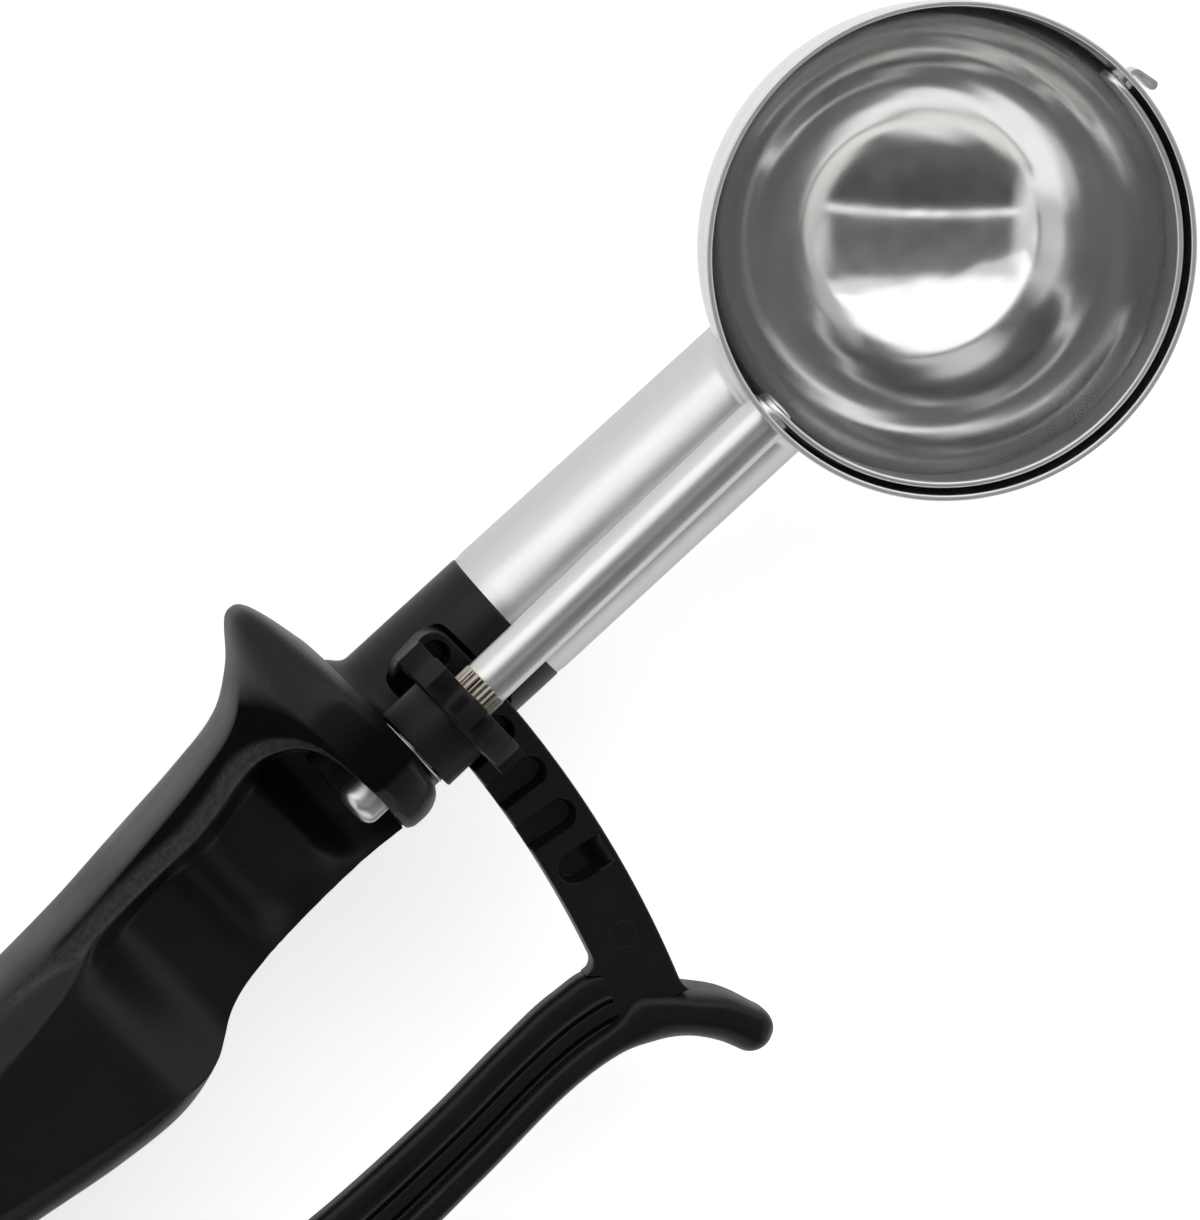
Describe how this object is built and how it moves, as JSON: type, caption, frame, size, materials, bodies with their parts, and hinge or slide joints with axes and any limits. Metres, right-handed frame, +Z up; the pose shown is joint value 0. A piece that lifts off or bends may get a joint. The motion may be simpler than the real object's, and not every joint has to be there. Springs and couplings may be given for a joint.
{
  "type": "lever ice cream scoop",
  "caption": "Lever-operated ice cream scoop: round steel bowl with a geared sweep blade, steel neck, moulded black handle and squeeze lever.",
  "frame": {"origin": "on the flat of the handle's underside, below the blade shaft's axis and 62 mm in front of the lever's pivot", "axes": "+X along the shaft towards the bowl, +Z up out of the bowl's mouth; the lever lies on the -Y side"},
  "size_m": [0.2138, 0.0752, 0.0333],
  "materials": {
    "bowl_steel": "polished stainless steel",
    "neck_steel": "satin stainless steel",
    "handle_nylon": "fine-textured moulded nylon",
    "washer_steel": "bright stamped steel",
    "pin_steel": "bright drawn steel",
    "clip_steel": "spring steel",
    "spring_wire": "drawn stainless wire",
    "lever_nylon": "fine-textured moulded nylon",
    "pinion_nylon": "smooth moulded nylon",
    "shaft_steel": "drawn stainless rod",
    "blade_steel": "rolled stainless strip"
  },
  "bodies": {
    "frame": {"handle": "handle_nylon", "bowl": "bowl_steel", "neck_tube": "neck_steel", "thrust_washer": "washer_steel", "pivot_pin": "pin_steel", "pivot_clip": "clip_steel", "return_spring": "spring_wire"},
    "lever": {"lever": "lever_nylon"},
    "blade": {"pinion": "pinion_nylon", "blade_shaft": "shaft_steel", "scraper_blade": "blade_steel"}
  },
  "joints": [
    {"name": "squeeze", "type": "hinge", "parent": "frame", "child": "lever", "pos_m": [-0.062, 0, 0.0134], "axis": [0, 0, 1], "range_deg": [0, 11.35], "stiffness_Nm_per_rad": 1, "springref_deg": -11.46, "deforming": ["return_spring"]},
    {"name": "sweep", "type": "hinge", "parent": "frame", "child": "blade", "pos_m": [0.0458, 0, 0.0254], "axis": [1, 0, 0], "range_deg": [0, 180]}
  ],
  "couplings": [
    {"joint": "sweep", "follows": "squeeze", "ratio": 15.853}
  ]
}
